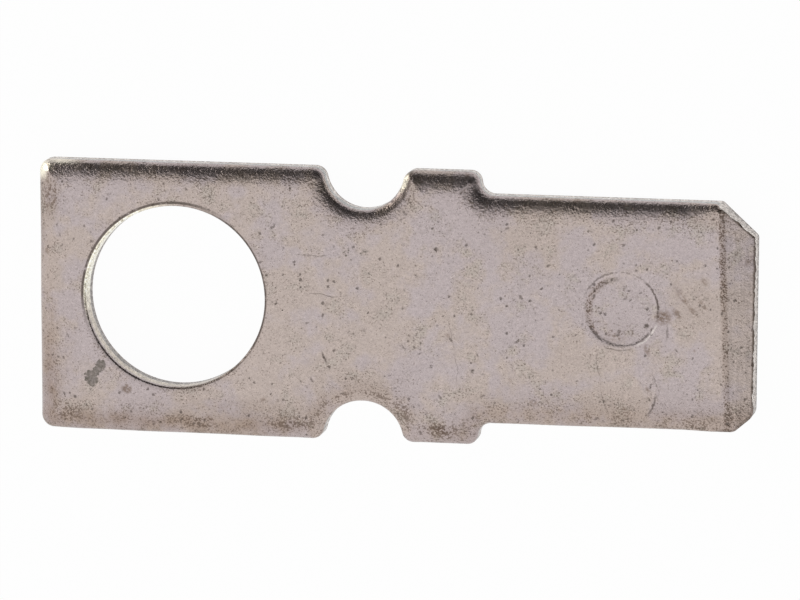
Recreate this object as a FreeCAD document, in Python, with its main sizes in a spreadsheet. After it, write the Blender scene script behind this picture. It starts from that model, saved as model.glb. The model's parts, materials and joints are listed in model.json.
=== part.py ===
# Male spade terminal with a screw ring, stamped from flat strip, in millimetres.
#
# The part lies on its back: +Z is up, out of the face where the die rolled the edges
# over, and Z = 0 is the flat back. The origin is on the axis of the screw hole, at the
# back face, and +X runs to the tip of the blade. Everything comes out of one strip:
# a blunt ring end with a round screw hole, a neck between two bend-relief notches,
# shoulders that stop the receptacle, and a blade with a coined lead-in and a catch
# dimple on both faces.
import FreeCAD, Part
import os
import Sketcher
from math import atan2, pi, sqrt

from FreeCAD import Vector

NODE = "spade_terminal"

# Driving sizes. Along X they run in a chain from the axis of the screw hole to the tip.
SIZES = [
    ("stock_thickness", 0.80, "strip thickness"),
    ("ring_reach", 3.93, "axis of the screw hole to the blunt end of the ring"),
    ("ring_corner_radius", 0.36, "the two outer corners of the ring end"),
    ("hole_diameter", 5.06, "screw hole, clear of a 4.8 mm stud"),
    ("hole_side_offset", 0.08, "screw hole to the +Y side of the strip's centre line"),
    ("hole_roll_radius", 0.05, "rolled upper edge of the screw hole"),
    ("notch_station", 5.26, "axis of the screw hole to the centres of the two notches"),
    ("notch_radius", 1.13, "bend-relief notches, centred on the strip's edges"),
    ("notch_corner_radius", 0.34, "outer corners of the notches"),
    ("shoulder_run", 3.22, "centres of the notches to the step from the neck to the blade"),
    ("shoulder_height", 0.63, "step on each side; the ring and neck are that much wider"),
    ("shoulder_radius", 0.32, "outer arc of the step"),
    ("root_radius", 0.38, "inner arc of the step, where it runs into the blade"),
    ("blade_width", 6.30, "blade, a 6.3 mm tab"),
    ("blade_length", 7.62, "step to the tip"),
    ("edge_roll_radius", 0.24, "rolled upper edge of the outline"),
    ("bevel_length", 0.90, "lead-in on each face"),
    ("bevel_depth", 0.15, "lead-in at the tip, taken off each face"),
    ("upper_cut_length", 1.00, "corner cut on the +Y side, along the blade"),
    ("upper_cut_height", 0.88, "corner cut on the +Y side, across the blade"),
    ("squared_run", 0.12, "from there back to where the edges start to be rolled"),
    ("lower_cut_length", 0.62, "corner cut on the -Y side, along the blade"),
    ("lower_cut_height", 0.53, "corner cut on the -Y side, across the blade"),
    ("tip_corner_radius", 0.14, "where the corner cuts meet the edges"),
    ("dimple_setback", 3.68, "tip to the centre of the dimples"),
    ("dimple_side_offset", 0.17, "dimples to the +Y side of the strip's centre line"),
    ("dimple_rim_diameter", 2.04, "dimple at the face"),
    ("dimple_floor_diameter", 1.60, "dimple at its flat floor"),
    ("dimple_depth", 0.10, "dimple below the face"),
]

# The sketcher's own numbers for the points of a line or an arc, and for its two axes.
START, END, CENTRE = range(1, 4)
X_AXIS, Y_AXIS = range(-1, -3, -1)
ORIGIN = (X_AXIS, START)
CLOSE = 1e-4

doc = FreeCAD.newDocument("terminal")
sheet = doc.addObject("Spreadsheet::Sheet", "Sizes")
for row, (alias, value, note) in enumerate(SIZES, 1):
    sheet.set("A%d" % row, note)
    sheet.set("B%d" % row, str(value))
    sheet.setAlias("B%d" % row, alias)
doc.recompute()


def total(*aliases, less=()):
    """A sum of sizes less some others: its value now, and the formula that keeps it so."""
    value = sum(map(sheet.get, aliases)) - sum(map(sheet.get, less))
    formula = " + ".join("Sizes." + alias for alias in aliases)
    return value, formula + "".join(" - Sizes." + alias for alias in less)


def half(alias):
    """Half a size: its value now, and the formula that keeps it so."""
    return sheet.get(alias) / 2, "Sizes.%s / 2" % alias


# Places that several features share.
TO_STEP = ("notch_station", "shoulder_run")
TO_TIP = TO_STEP + ("blade_length",)
step_x, STEP_X = total(*TO_STEP)
tip_x, TIP_X = total(*TO_TIP)
squared_x, SQUARED_X = total(*TO_TIP, less=("upper_cut_length", "squared_run"))
face_z, FACE_Z = half("stock_thickness")
blade_y = sheet.get("blade_width") / 2
ring_y = blade_y + sheet.get("shoulder_height")

# The body's own frame has Z = 0 at mid-thickness, so that one mirror plane serves what
# both faces share, and Y = 0 on the centre line of the strip.
body = doc.addObject("PartDesign::Body", NODE)
body.Label = NODE
body.setExpression(".Placement.Base.y", "-Sizes.hole_side_offset")
body.setExpression(".Placement.Base.z", FACE_Z)


def origin_plane(role):
    """The body's own plane of that role."""
    return [item for item in body.Origin.OriginFeatures if item.Role == role][0]


def new_sketch(name, role):
    """An empty sketch on one of the body's planes."""
    sketch = body.newObject("Sketcher::SketchObject", name)
    sketch.AttachmentSupport = [(origin_plane(role), "")]
    sketch.MapMode = "FlatFace"
    return sketch


def new_feature(kind, name, **settings):
    """A feature of the body, with its settings."""
    feature = body.newObject("PartDesign::" + kind, name)
    for key, value in settings.items():
        setattr(feature, key, value)
    return feature


def rule(sketch, kind, *places):
    """A geometric constraint."""
    sketch.addConstraint(Sketcher.Constraint(kind, *places))


def dimension(sketch, name, kind, places, amount):
    """A named dimension that takes its value from the sheet."""
    value, formula = amount
    index = sketch.addConstraint(Sketcher.Constraint(kind, *places, value))
    sketch.renameConstraint(index, name)
    sketch.setExpression("Constraints." + name, formula)


def closed_polygon(sketch, corners):
    """Straight lines from corner to corner and back to the first."""
    following = corners[1:] + corners[:1]
    for here, there in zip(corners, following):
        sketch.addGeometry(Part.LineSegment(Vector(*here, 0), Vector(*there, 0)))
    for index in range(len(corners)):
        after = (index + 1) % len(corners)
        rule(sketch, "Coincident", index, END, after, START)


def upright_edges(feature, places):
    """Names of the edges that stand along Z at the given places."""
    names = []
    for index, edge in enumerate(feature.Shape.Edges, 1):
        ends = [vertex.Point for vertex in edge.Vertexes]
        for x, y in places:
            if all(abs(end.x - x) < CLOSE and abs(end.y - y) < CLOSE for end in ends):
                names.append("Edge%d" % index)
    return names


def upper_edges(feature, wanted):
    """Names of the wanted edges among those that lie in the upper face."""
    names = []
    for index, edge in enumerate(feature.Shape.Edges, 1):
        heights = [vertex.Z for vertex in edge.Vertexes] + [edge.CenterOfMass.z]
        if all(abs(height - face_z) < CLOSE for height in heights) and wanted(edge):
            names.append("Edge%d" % index)
    return names


def rounded(name, feature, edges, alias):
    """Edges of a feature rounded to a radius of the sheet."""
    fillet = new_feature("Fillet", name, Base=(feature, edges))
    fillet.setExpression("Radius", "Sizes." + alias)
    doc.recompute()
    return fillet


# Blank up to the squared end: ring, neck between the notches, step and blade.
ring_x = -sheet.get("ring_reach")
notch_x = sheet.get("notch_station")
notch_r = sheet.get("notch_radius")
outer_r = sheet.get("shoulder_radius")
inner_r = sheet.get("root_radius")

# The step falls in an S of two arcs that touch at its middle. Their centres are the sum
# of the radii apart, and as far apart across the strip as that sum exceeds the step.
arcs_y = outer_r + inner_r - sheet.get("shoulder_height")
arcs_x = sqrt((outer_r + inner_r) ** 2 - arcs_y ** 2)
lean = atan2(arcs_y, arcs_x)
outer_x = step_x - arcs_x * outer_r / (outer_r + inner_r)
inner_x = outer_x + arcs_x

blank_outline = new_sketch("blank_outline", "XY_Plane")


def line(start, end):
    """A straight stretch of the blank's outline."""
    return blank_outline.addGeometry(Part.LineSegment(Vector(*start, 0), Vector(*end, 0)))


def arc(centre, radius, first, last):
    """A round stretch of the blank's outline, anticlockwise between two angles."""
    circle = Part.Circle(Vector(*centre, 0), Vector(0, 0, 1), radius)
    return blank_outline.addGeometry(Part.ArcOfCircle(circle, first, last))


lower_ring = line((ring_x, -ring_y), (notch_x - notch_r, -ring_y))
lower_notch = arc((notch_x, -ring_y), notch_r, 0, pi)
lower_neck = line((notch_x + notch_r, -ring_y), (outer_x, -ring_y))
lower_outer = arc((outer_x, outer_r - ring_y), outer_r, -pi / 2, -lean)
lower_inner = arc((inner_x, -blade_y - inner_r), inner_r, pi / 2, pi - lean)
lower_blade = line((inner_x, -blade_y), (squared_x, -blade_y))
blank_end = line((squared_x, -blade_y), (squared_x, blade_y))
upper_blade = line((squared_x, blade_y), (inner_x, blade_y))
upper_inner = arc((inner_x, blade_y + inner_r), inner_r, pi + lean, 3 * pi / 2)
upper_outer = arc((outer_x, ring_y - outer_r), outer_r, lean, pi / 2)
upper_neck = line((outer_x, ring_y), (notch_x + notch_r, ring_y))
upper_notch = arc((notch_x, ring_y), notch_r, pi, 2 * pi)
upper_ring = line((notch_x - notch_r, ring_y), (ring_x, ring_y))
ring_end = line((ring_x, ring_y), (ring_x, -ring_y))

# Corners, and the smooth joins of the step.
corners = [
    (lower_ring, END, lower_notch, END), (lower_notch, START, lower_neck, START),
    (lower_blade, END, blank_end, START), (blank_end, END, upper_blade, START),
    (upper_neck, END, upper_notch, END), (upper_notch, START, upper_ring, START),
    (upper_ring, END, ring_end, START), (ring_end, END, lower_ring, START),
]
smooth_joins = [
    (lower_neck, END, lower_outer, START), (lower_outer, END, lower_inner, END),
    (lower_inner, START, lower_blade, START), (upper_blade, END, upper_inner, END),
    (upper_inner, START, upper_outer, START), (upper_outer, END, upper_neck, START),
]
for corner in corners:
    rule(blank_outline, "Coincident", *corner)
for join in smooth_joins:
    rule(blank_outline, "Tangent", *join)
for level in (lower_ring, lower_neck, lower_blade, upper_blade, upper_neck, upper_ring):
    rule(blank_outline, "Horizontal", level)
for notch, before, after in (
    (lower_notch, lower_ring, lower_neck),
    (upper_notch, upper_ring, upper_neck),
):
    rule(blank_outline, "PointOnObject", notch, CENTRE, before)
    rule(blank_outline, "PointOnObject", notch, CENTRE, after)
rule(blank_outline, "Vertical", ring_end)
rule(blank_outline, "Symmetric", lower_notch, CENTRE, upper_notch, CENTRE, X_AXIS)
rule(blank_outline, "Symmetric", blank_end, START, blank_end, END, X_AXIS)
rule(blank_outline, "Vertical", lower_outer, END, upper_outer, START)
for lower, upper in (
    (lower_notch, upper_notch),
    (lower_outer, upper_outer),
    (lower_inner, upper_inner),
):
    rule(blank_outline, "Equal", lower, upper)

dimension(blank_outline, "ring_reach", "DistanceX",
          (ring_end, END) + ORIGIN, total("ring_reach"))
dimension(blank_outline, "ring_width", "DistanceY", (lower_notch, CENTRE, upper_notch, CENTRE),
          total("blade_width", "shoulder_height", "shoulder_height"))
dimension(blank_outline, "notch_station", "DistanceX",
          ORIGIN + (lower_notch, CENTRE), total("notch_station"))
dimension(blank_outline, "notch_radius", "Radius", (lower_notch,), total("notch_radius"))
dimension(blank_outline, "step_station", "DistanceX",
          ORIGIN + (lower_outer, END), (step_x, STEP_X))
dimension(blank_outline, "shoulder_radius", "Radius", (lower_outer,), total("shoulder_radius"))
dimension(blank_outline, "root_radius", "Radius", (lower_inner,), total("root_radius"))
dimension(blank_outline, "blade_width", "DistanceY",
          (blank_end, START, blank_end, END), total("blade_width"))
dimension(blank_outline, "squared_station", "DistanceX",
          ORIGIN + (blank_end, START), (squared_x, SQUARED_X))

blank = new_feature("Pad", "blank", Profile=blank_outline, SideType="Symmetric")
blank.setExpression("Length", "Sizes.stock_thickness")
doc.recompute()

# Plan corners, rounded where the punch is.
both_ways = (-1, 1)
ring_corners = [(ring_x, side * ring_y) for side in both_ways]
notch_corners = [(notch_x + way * notch_r, side * ring_y) for side in both_ways for way in both_ways]
ring_rounds = rounded("ring_rounds", blank, upright_edges(blank, ring_corners),
                      "ring_corner_radius")
notch_rounds = rounded("notch_rounds", ring_rounds, upright_edges(ring_rounds, notch_corners),
                       "notch_corner_radius")


def on_outline(edge):
    """True where the punch shears the outline, and false across the squared end."""
    return abs(edge.CenterOfMass.x - squared_x) > CLOSE


# The punch drags the upper edge down all round the outline.
rolled_blank = rounded("rolled_blank", notch_rounds, upper_edges(notch_rounds, on_outline),
                       "edge_roll_radius")

# Squared end of the blade, with its two unequal corner cuts.
upper_cut = (tip_x - sheet.get("upper_cut_length"), blade_y - sheet.get("upper_cut_height"))
lower_cut = (tip_x - sheet.get("lower_cut_length"), sheet.get("lower_cut_height") - blade_y)
tip_corners = [
    (lower_cut[0], -blade_y),
    (tip_x, lower_cut[1]),
    (tip_x, upper_cut[1]),
    (upper_cut[0], blade_y),
]

tip_outline = new_sketch("tip_outline", "XY_Plane")
closed_polygon(tip_outline, [(squared_x, -blade_y)] + tip_corners + [(squared_x, blade_y)])
LOWER_EDGE, LOWER_CUT, TIP, UPPER_CUT, UPPER_EDGE, TIP_ROOT = range(6)
rule(tip_outline, "Horizontal", LOWER_EDGE)
rule(tip_outline, "Horizontal", UPPER_EDGE)
rule(tip_outline, "Vertical", TIP)
rule(tip_outline, "Symmetric", TIP_ROOT, START, TIP_ROOT, END, X_AXIS)
dimension(tip_outline, "blade_width", "DistanceY",
          (TIP_ROOT, END, TIP_ROOT, START), total("blade_width"))
dimension(tip_outline, "squared_station", "DistanceX",
          ORIGIN + (TIP_ROOT, END), (squared_x, SQUARED_X))
dimension(tip_outline, "tip_station", "DistanceX", ORIGIN + (TIP, START), (tip_x, TIP_X))
dimension(tip_outline, "lower_cut_length", "DistanceX",
          (LOWER_CUT, START, LOWER_CUT, END), total("lower_cut_length"))
dimension(tip_outline, "lower_cut_height", "DistanceY",
          (LOWER_CUT, START, LOWER_CUT, END), total("lower_cut_height"))
dimension(tip_outline, "upper_cut_length", "DistanceX",
          (UPPER_CUT, END, UPPER_CUT, START), total("upper_cut_length"))
dimension(tip_outline, "upper_cut_height", "DistanceY",
          (UPPER_CUT, START, UPPER_CUT, END), total("upper_cut_height"))

tip = new_feature("Pad", "tip", Profile=tip_outline, SideType="Symmetric")
tip.setExpression("Length", "Sizes.stock_thickness")
doc.recompute()
tip_rounds = rounded("tip_rounds", tip, upright_edges(tip, tip_corners), "tip_corner_radius")

# Screw hole, pierced from the upper face.
hole_outline = new_sketch("hole_outline", "XY_Plane")
hole_y = sheet.get("hole_side_offset")
hole_r, HOLE_R = half("hole_diameter")
hole_circle = hole_outline.addGeometry(Part.Circle(Vector(0, hole_y, 0), Vector(0, 0, 1), hole_r))
rule(hole_outline, "PointOnObject", hole_circle, CENTRE, Y_AXIS)
dimension(hole_outline, "hole_side_offset", "DistanceY",
          ORIGIN + (hole_circle, CENTRE), total("hole_side_offset"))
dimension(hole_outline, "hole_radius", "Radius", (hole_circle,), (hole_r, HOLE_R))
screw_hole = new_feature("Pocket", "screw_hole", Profile=hole_outline,
                         Type="ThroughAll", SideType="Symmetric")
doc.recompute()


def on_hole(edge):
    """True on the rim of the screw hole."""
    middle = edge.CenterOfMass
    return abs(middle.x) < CLOSE and abs(middle.y - hole_y) < CLOSE and edge.isClosed()


rolled_hole = rounded("rolled_hole", screw_hole, upper_edges(screw_hole, on_hole), "hole_roll_radius")

# Catch dimple: a shallow cone with a flat floor, sunk into the upper face.
dimple_profile = new_sketch("dimple_profile", "XZ_Plane")
dimple_x, DIMPLE_X = total(*TO_TIP, less=("dimple_setback",))
dimple_profile.setExpression(".AttachmentOffset.Base.x", DIMPLE_X)
dimple_profile.setExpression(".AttachmentOffset.Base.z", "-Sizes.dimple_side_offset")
rim_r, RIM_R = half("dimple_rim_diameter")
floor_r, FLOOR_R = half("dimple_floor_diameter")
floor_z = face_z - sheet.get("dimple_depth")
closed_polygon(dimple_profile, [(0, face_z), (rim_r, face_z), (floor_r, floor_z), (0, floor_z)])
RIM, CONE, FLOOR, DIMPLE_AXIS = range(4)
rule(dimple_profile, "Horizontal", RIM)
rule(dimple_profile, "Horizontal", FLOOR)
rule(dimple_profile, "PointOnObject", DIMPLE_AXIS, START, Y_AXIS)
rule(dimple_profile, "PointOnObject", DIMPLE_AXIS, END, Y_AXIS)
dimension(dimple_profile, "face", "DistanceY", ORIGIN + (DIMPLE_AXIS, END), (face_z, FACE_Z))
dimension(dimple_profile, "dimple_depth", "DistanceY",
          (DIMPLE_AXIS, START, DIMPLE_AXIS, END), total("dimple_depth"))
dimension(dimple_profile, "rim_radius", "DistanceX", (RIM, START, RIM, END), (rim_r, RIM_R))
dimension(dimple_profile, "floor_radius", "DistanceX", (FLOOR, END, FLOOR, START), (floor_r, FLOOR_R))
dimple = new_feature("Groove", "dimple", Profile=dimple_profile,
                     ReferenceAxis=(dimple_profile, ["V_Axis"]), Angle=360)
doc.recompute()

# Lead-in: a long thin wedge coined off the upper face, right across the tip.
bevel_x = tip_x - sheet.get("bevel_length")
bevel_z = face_z - sheet.get("bevel_depth")
bevel_profile = new_sketch("bevel_profile", "XZ_Plane")
closed_polygon(bevel_profile, [(bevel_x, face_z), (tip_x, bevel_z), (tip_x, face_z)])
SLOPE, TIP_WALL, OLD_FACE = range(3)
rule(bevel_profile, "Vertical", TIP_WALL)
rule(bevel_profile, "Horizontal", OLD_FACE)
dimension(bevel_profile, "tip_station", "DistanceX", ORIGIN + (OLD_FACE, START), (tip_x, TIP_X))
dimension(bevel_profile, "face", "DistanceY", ORIGIN + (OLD_FACE, START), (face_z, FACE_Z))
dimension(bevel_profile, "bevel_length", "DistanceX",
          (OLD_FACE, END, OLD_FACE, START), total("bevel_length"))
dimension(bevel_profile, "bevel_depth", "DistanceY",
          (TIP_WALL, START, TIP_WALL, END), total("bevel_depth"))
bevel = new_feature("Pocket", "bevel", Profile=bevel_profile, Type="ThroughAll", SideType="Symmetric")
doc.recompute()

# The back of the blade has the same dimple and the same lead-in.
both_faces = new_feature("Mirrored", "both_faces", Originals=[dimple, bevel],
                         MirrorPlane=(origin_plane("XY_Plane"), [""]))
body.Tip = both_faces
doc.recompute()

# Nothing is written unless every feature came out, every sketch is fully dimensioned and
# every cut removed metal.
for item in doc.Objects:
    if "Invalid" in item.State or "Error" in item.State:
        raise RuntimeError("%s did not come out: %s" % (item.Label, item.State))
    if item.TypeId == "Sketcher::SketchObject" and not item.FullyConstrained:
        raise RuntimeError("%s is loose" % item.Label)
steps = [tip_rounds, screw_hole, rolled_hole, dimple, bevel, both_faces]
for before, after in zip(steps, steps[1:]):
    if not after.Shape.Volume < before.Shape.Volume - CLOSE:
        raise RuntimeError("%s removed nothing" % after.Label)
solid = body.Shape
if solid.isNull() or not solid.isValid() or len(solid.Solids) != 1:
    raise RuntimeError("%s is not one sound solid" % NODE)

os.makedirs("parts", exist_ok=True)
solid.exportStep("parts/%s.step" % NODE)
box = solid.BoundBox
print("%s: %.3f x %.3f x %.3f mm, %.3f cubic mm"
      % (NODE, box.XLength, box.YLength, box.ZLength, solid.Volume))
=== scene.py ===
# %% [markdown]
# # A stamped spade terminal
# This lesson dresses one small piece of sheet metal: a male spade terminal, blanked
# from tin-plated brass strip 0.8 mm thick. It is a single piece with a screw ring at
# one end and a flat blade at the other. Close up it is far from a plain plate: the die
# has rolled the upper edges over, the walls are sheared and torn, the tip is coined to
# a lead-in, a catch dimple is pressed into the blade, and the old tin has gone dull,
# mottled and full of fine pits. All of that is modelled or painted here by formula.
#
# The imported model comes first. It is a fixed frame in metres, and whatever is made
# below has to sit exactly where that frame says.

# %% Load the frame
import json

import bpy
import numpy as np
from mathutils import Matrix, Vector
from mathutils.geometry import delaunay_2d_cdt


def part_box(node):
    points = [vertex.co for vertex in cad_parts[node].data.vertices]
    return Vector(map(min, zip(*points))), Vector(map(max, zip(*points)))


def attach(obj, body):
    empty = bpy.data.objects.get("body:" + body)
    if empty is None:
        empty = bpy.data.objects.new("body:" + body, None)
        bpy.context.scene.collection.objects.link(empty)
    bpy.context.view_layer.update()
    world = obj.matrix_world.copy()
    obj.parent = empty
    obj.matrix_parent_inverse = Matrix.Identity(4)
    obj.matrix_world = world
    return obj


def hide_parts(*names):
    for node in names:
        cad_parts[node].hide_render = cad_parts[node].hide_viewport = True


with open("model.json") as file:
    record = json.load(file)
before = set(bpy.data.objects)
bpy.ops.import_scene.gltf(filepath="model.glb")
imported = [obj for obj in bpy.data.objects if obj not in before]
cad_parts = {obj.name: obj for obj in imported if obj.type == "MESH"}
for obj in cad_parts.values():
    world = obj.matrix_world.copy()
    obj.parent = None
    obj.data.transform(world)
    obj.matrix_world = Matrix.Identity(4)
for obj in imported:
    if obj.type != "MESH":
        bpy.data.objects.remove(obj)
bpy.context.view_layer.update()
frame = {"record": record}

NODE = "spade_terminal"
BODY = "root"
MM = 0.001

# %% [markdown]
# ## Camera
# The photograph was taken from almost straight above with a long lens, leaning a
# little to the blade's side and to the upper side, so that two of the four walls just
# show. A camera is a place, three angles and a lens. These were found by fitting the
# outline of the part to the picture, which is better than turning the view by eye:
# at this distance one degree moves a wall by a whole pixel.

# %% Make the camera
EYE = (31.24 * MM, 22.34 * MM, 130.17 * MM)
EYE_ANGLES = (-0.1659, 0.1910, 0.0050)
LENS_MM = 219.8
SENSOR_MM = 36.0
CLIP_RANGE = (1 * MM, 10.0)


def placed(name, data):
    """A new object of the scene, made from its data."""
    made = bpy.data.objects.new(name, data)
    bpy.context.scene.collection.objects.link(made)
    return made


camera = placed("camera", bpy.data.cameras.new("camera"))
camera.location = EYE
camera.rotation_mode = "XYZ"
camera.rotation_euler = EYE_ANGLES
camera.data.sensor_width = SENSOR_MM
camera.data.lens = LENS_MM
camera.data.clip_start, camera.data.clip_end = CLIP_RANGE
bpy.context.scene.camera = camera
print("camera", round(camera.location.length / MM, 1), "mm from the screw hole")

# %% [markdown]
# ## The sizes of the blank
# The walls of the blank follow the outline that the punch cut: a row of arcs joined by
# straight runs. Only the arcs have to be written down, because each straight run goes
# from the end of one arc to the start of the next. All sizes are in millimetres here,
# on the centre line of the strip, and become metres in one place at the end.

# %% Sizes in millimetres
low, high = (np.array(corner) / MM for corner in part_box(NODE))
THICK = high[2]
RING_X, TIP_X = low[0], high[0]
CENTRE_Y = (low[1] + high[1]) / 2
RING_HALF = (high[1] - low[1]) / 2
BLADE_HALF = 3.15
HOLE_RADIUS = frame["record"]["mounts"][0]["dims"]["r_mm"]
NOTCH_X, NOTCH_RADIUS, NOTCH_CORNER = 5.26, 1.13, 0.34
RING_CORNER = 0.36
STEP_X, SHOULDER_RADIUS, ROOT_RADIUS = 8.48, 0.32, 0.38
UPPER_CUT = (1.00, 0.88)
LOWER_CUT = (0.56, 0.53)
UPPER_CORNER, LOWER_CORNER = 0.14, 0.34
LOWER_TAPER = 0.05
EDGE_RISE = np.arcsin(1 - (RING_HALF - BLADE_HALF) / (SHOULDER_RADIUS + ROOT_RADIUS))
BLADE_FROM = STEP_X + np.cos(EDGE_RISE) * ROOT_RADIUS
print("blank", round(TIP_X - RING_X, 2), "by", round(2 * RING_HALF, 2), "by", round(THICK, 2), "mm")
print("screw hole radius", round(HOLE_RADIUS, 3), "mm")

# %% Arcs of the outline


def corner_arc(before, corner, after, radius):
    """Row for an arc that rounds a left turn: its centre lies on the bisector of the two
    runs, radius over the cosine of half the turn away from the corner."""
    before, corner, after = (np.array(point) for point in (before, corner, after))
    first = (corner - before) / np.linalg.norm(corner - before)
    second = (after - corner) / np.linalg.norm(after - corner)
    bisector = (second - first) / np.linalg.norm(second - first)
    half_turn = np.arccos(np.clip(first @ second, -1, 1)) / 2
    centre = corner + bisector * radius / np.cos(half_turn)
    start = np.arctan2(-first[0], first[1])
    return [*centre, radius, start, start + 2 * half_turn]


def side_arcs(cut, corner, taper):
    """Rows of centre x, centre y, radius, first and last angle, from the tip to the ring
    along the upper side. An angle that falls belongs to a hollow arc. The shoulder and
    the root meet on the line of their centres, so one angle serves both, and the blade's
    edge draws in by the taper from the root to the tip."""
    edge_corner = (TIP_X - cut[0], BLADE_HALF - taper)
    tip_corner = (TIP_X, BLADE_HALF - cut[1])
    outer_x = STEP_X - np.cos(EDGE_RISE) * SHOULDER_RADIUS
    dip = np.arcsin(NOTCH_CORNER / (NOTCH_RADIUS + NOTCH_CORNER))
    mouth = (NOTCH_RADIUS + NOTCH_CORNER) * np.cos(dip)
    quarter = np.pi / 2
    return [
        corner_arc((TIP_X, 0), tip_corner, edge_corner, corner),
        corner_arc(tip_corner, edge_corner, (BLADE_FROM, BLADE_HALF), corner),
        [BLADE_FROM, BLADE_HALF + ROOT_RADIUS, ROOT_RADIUS, 3 * quarter, 2 * quarter + EDGE_RISE],
        [outer_x, RING_HALF - SHOULDER_RADIUS, SHOULDER_RADIUS, EDGE_RISE, quarter],
        [NOTCH_X + mouth, RING_HALF - NOTCH_CORNER, NOTCH_CORNER, quarter, 2 * quarter - dip],
        [NOTCH_X, RING_HALF, NOTCH_RADIUS, -dip, dip - 2 * quarter],
        [NOTCH_X - mouth, RING_HALF - NOTCH_CORNER, NOTCH_CORNER, dip, quarter],
        [RING_X + RING_CORNER, RING_HALF - RING_CORNER, RING_CORNER, quarter, 2 * quarter],
    ]


upper_side = np.array(side_arcs(UPPER_CUT, UPPER_CORNER, 0.0))
# The lower side is a mirror image, walked the other way, so its angles change places.
lower_side = np.array(side_arcs(LOWER_CUT, LOWER_CORNER, LOWER_TAPER))[::-1] * [1, -1, 1, -1, -1]
lower_side[:, [3, 4]] = lower_side[:, [4, 3]]
arcs = np.vstack([upper_side, lower_side])
arcs[:, 1] += CENTRE_Y


def headings(angles):
    """Unit vectors at the given angles: their cosine and sine."""
    return np.stack([np.cos(angles), np.sin(angles)], -1)


def on_arc(rows, angles):
    """Points at the given angles: the centre plus the radius along each heading."""
    return rows[..., :2] + rows[..., 2:3] * headings(angles)


arc_starts, arc_ends = on_arc(arcs, arcs[:, 3]), on_arc(arcs, arcs[:, 4])
run_starts, run_ends = arc_ends, np.roll(arc_starts, -1, axis=0)
run_lengths = np.linalg.norm(run_ends - run_starts, axis=1)
print(len(arcs), "arcs,", int((run_lengths > 1e-6).sum()), "straight runs")

# %% [markdown]
# ## How far is a point from the edge?
# Nearly every feature of a stamping depends on one number, the distance to the cut
# edge: the roll of the edge, the dirt that gathers beside it, the fade of the polish.
# So the lesson works that distance out exactly, arc by arc and run by run, for whole
# arrays of points at once. It is positive inside the metal. The walls can then be
# followed with a profile, and the face can be one height field over the plan.

# %% Distance to the outline and to the hole


def gaps(points):
    """Distance to each arc and each straight run in turn, with the side of it that a
    point is on: 1 in the metal, -1 outside. For an arc it is the distance to the centre
    less the radius, within the arc's angles; for a run, that to its nearest point."""
    for *centre, radius, first, last in arcs:
        away = points - centre
        length = np.hypot(away[:, 0], away[:, 1])
        turned = np.arctan2(away[:, 1], away[:, 0])
        within = (turned - min(first, last)) % (2 * np.pi) <= abs(last - first) + 1e-9
        side = np.sign(length - radius) * (1 if last < first else -1)
        yield np.where(within, np.abs(length - radius), np.inf), side
    for start, end, length in zip(run_starts, run_ends, run_lengths):
        if length < 1e-6:
            continue
        along = (end - start) / length
        away = points - start
        station = np.clip(away @ along, 0, length)
        leftward = along[0] * away[:, 1] - along[1] * away[:, 0]
        side = np.where(leftward >= 0, 1, -1)
        yield np.hypot(*(away - station[:, None] * along).T), side


def outline_depth(points):
    """Signed distance to the outline, positive in the metal: the smallest gap counts."""
    best = np.full(len(points), np.inf)
    sign = np.ones(len(points))
    for gap, side in gaps(points):
        sign = np.where(gap < best, side, sign)
        best = np.minimum(gap, best)
    return best * sign


def hole_depth(points):
    """Distance from the wall of the screw hole, positive in the metal: the distance from
    the hole's axis less its radius."""
    return np.hypot(points[:, 0], points[:, 1]) - HOLE_RADIUS


def outline_loop(spacing):
    """Points round the outline, anticlockwise, with their outward normals: each arc and
    each run is shared out evenly at about the given spacing."""
    points, normals = [], []
    for row, start, end, length in zip(arcs, run_starts, run_ends, run_lengths):
        radius, first, last = row[2:]
        count = max(3, round(abs(last - first) * radius / spacing))
        angles = first + (last - first) * np.arange(count) / count
        points.append(on_arc(row, angles))
        normals.append(headings(angles) * (1 if last > first else -1))
        if length > 1e-6:
            count = max(1, round(length / spacing))
            share = np.arange(count)[:, None] / count
            along = (end - start) / length
            points.append(start + (end - start) * share)
            normals.append(np.tile([along[1], -along[0]], (count, 1)))
    return np.vstack(points), np.vstack(normals)


def unit_circle(radius, spacing):
    """Unit vectors all round, as close together as the spacing makes them at the radius."""
    count = round(2 * np.pi * radius / spacing)
    return headings(np.arange(count) * 2 * np.pi / count)


LOOP_SPACING = 0.036
rim, rim_normals = outline_loop(LOOP_SPACING)
hole_normals = -unit_circle(HOLE_RADIUS, LOOP_SPACING)
hole_rim = -HOLE_RADIUS * hole_normals
print(len(rim), "points round the outline and", len(hole_rim), "round the hole")

# %% [markdown]
# ## Waves without a texture
# Pressed metal is never quite flat, and a sheared wall is torn in a ragged way. Both
# need a random but smooth field that gives the same answer on every run. A sum of a
# few plane waves with seeded directions does that for whole arrays, and its wavelength
# is a real size that can be read off a ruler.

# %% Seeded waves
WAVE_COUNT, WAVE_SPREAD = 14, (0.75, 1.35)


def waves(points, wavelength, seed):
    """Smooth random field between about -1 and 1: the mean of cosines along directions
    and with phases drawn once from the seed, each of about the given wavelength."""
    draw = np.random.default_rng(seed)
    heading = draw.uniform(0, 2 * np.pi, WAVE_COUNT)
    pitch = 2 * np.pi / (wavelength * draw.uniform(*WAVE_SPREAD, WAVE_COUNT))
    phase = draw.uniform(0, 2 * np.pi, WAVE_COUNT)
    vectors = np.stack([np.cos(heading), np.sin(heading)]) * pitch
    return np.cos(points @ vectors + phase).sum(axis=1) / np.sqrt(WAVE_COUNT)


def wave_sum(points, rows):
    """Sum of several such fields, one for each row of height, wavelength and seed."""
    return sum(height * waves(points, wavelength, seed) for height, wavelength, seed in rows)


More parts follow.
